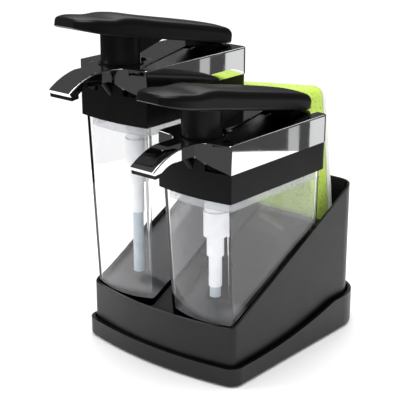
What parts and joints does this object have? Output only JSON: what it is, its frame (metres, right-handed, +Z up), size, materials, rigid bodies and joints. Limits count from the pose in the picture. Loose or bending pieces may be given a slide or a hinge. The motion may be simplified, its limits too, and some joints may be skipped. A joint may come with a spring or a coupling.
{
  "type": "soap pump caddy",
  "caption": "Tall and short clear soap bottles with chrome lever pumps on a ramped black caddy with a sponge slot, standing in a shallow drip tray.",
  "frame": {"origin": "middle of the bounding box, on the table under the tray's pads", "axes": "+Z up, -Y towards the user (spouts and lever tips), +X from the tall to the short dispenser"},
  "size_m": [0.131, 0.196, 0.2295],
  "materials": {
    "black_plastic": "satin black",
    "matte_black": "matt black",
    "clear_plastic": "clear, polished",
    "frosted_plastic": "frosted",
    "chrome": "mirror chrome",
    "white_plastic": "gloss white",
    "tube_plastic": "translucent",
    "steel": "stainless",
    "seal_rubber": "matt",
    "pad_rubber": "matt",
    "sponge_foam": "open-cell foam",
    "sponge_backing": "soft scouring layer"
  },
  "bodies": {
    "tray": {"drip_tray": "black_plastic", "tray_pads": "pad_rubber"},
    "caddy": {"caddy_body": "black_plastic"},
    "sponge": {"sponge_foam": "sponge_foam", "sponge_backing": "sponge_backing"},
    "tall_bottle": {"tall_bottle": "clear_plastic"},
    "tall_head": {"tall_collar": "matte_black", "tall_lid_plug": "frosted_plastic", "tall_cover": "chrome", "tall_nozzle": "matte_black", "tall_guide_ring": "matte_black", "tall_hinge_foot": "matte_black", "tall_pump_nut": "white_plastic", "tall_pump_cylinder": "white_plastic", "tall_outlet_housing": "white_plastic", "tall_outlet_tube": "matte_black", "tall_inlet_ball": "steel", "tall_dip_tube": "tube_plastic"},
    "tall_lever": {"tall_lever": "black_plastic", "tall_lever_frame": "black_plastic", "tall_hinge_pin": "steel"},
    "tall_piston": {"tall_piston_stem": "white_plastic", "tall_piston_seal": "seal_rubber", "tall_return_spring": "steel"},
    "short_bottle": {"short_bottle": "clear_plastic"},
    "short_head": {"short_collar": "matte_black", "short_lid_plug": "frosted_plastic", "short_cover": "chrome", "short_nozzle": "matte_black", "short_guide_ring": "matte_black", "short_hinge_foot": "matte_black", "short_pump_nut": "white_plastic", "short_pump_cylinder": "white_plastic", "short_outlet_housing": "white_plastic", "short_outlet_tube": "matte_black", "short_inlet_ball": "steel", "short_dip_tube": "tube_plastic"},
    "short_lever": {"short_lever": "black_plastic", "short_lever_frame": "black_plastic", "short_hinge_pin": "steel"},
    "short_piston": {"short_piston_stem": "white_plastic", "short_piston_seal": "seal_rubber", "short_return_spring": "steel"}
  },
  "joints": [
    {"name": "caddy_lift", "type": "slide", "parent": "tray", "child": "caddy", "axis": [0, 0, 1], "range_m": [0, 0.06]},
    {"name": "sponge_lift", "type": "slide", "parent": "caddy", "child": "sponge", "axis": [0, 0, 1], "range_m": [0, 0.12]},
    {"name": "tall_bottle_lift", "type": "slide", "parent": "caddy", "child": "tall_bottle", "axis": [0, 0, 1], "range_m": [0, 0.08]},
    {"name": "tall_lid_lift", "type": "slide", "parent": "tall_bottle", "child": "tall_head", "axis": [0, 0, 1], "range_m": [0, 0.13]},
    {"name": "tall_press", "type": "hinge", "parent": "tall_head", "child": "tall_lever", "pos_m": [-0.0335, 0.038, 0.2013], "axis": [1, 0, 0], "range_deg": [0, 6], "stiffness_Nm_per_rad": 0.6, "springref_deg": -34.38},
    {"name": "tall_stroke", "type": "slide", "parent": "tall_head", "child": "tall_piston", "axis": [0, 0, -1], "range_m": [0, 0.0074], "deforming": ["tall_return_spring"]},
    {"name": "short_bottle_lift", "type": "slide", "parent": "caddy", "child": "short_bottle", "axis": [0, 0, 1], "range_m": [0, 0.08]},
    {"name": "short_lid_lift", "type": "slide", "parent": "short_bottle", "child": "short_head", "axis": [0, 0, 1], "range_m": [0, 0.1]},
    {"name": "short_press", "type": "hinge", "parent": "short_head", "child": "short_lever", "pos_m": [0.0335, 0.038, 0.1661], "axis": [1, 0, 0], "range_deg": [0, 6], "stiffness_Nm_per_rad": 0.6, "springref_deg": -34.38},
    {"name": "short_stroke", "type": "slide", "parent": "short_head", "child": "short_piston", "axis": [0, 0, -1], "range_m": [0, 0.0074], "deforming": ["short_return_spring"]}
  ],
  "couplings": [
    {"joint": "tall_stroke", "follows": "tall_press", "m_per_rad": 0.0684},
    {"joint": "short_stroke", "follows": "short_press", "m_per_rad": 0.0684}
  ]
}
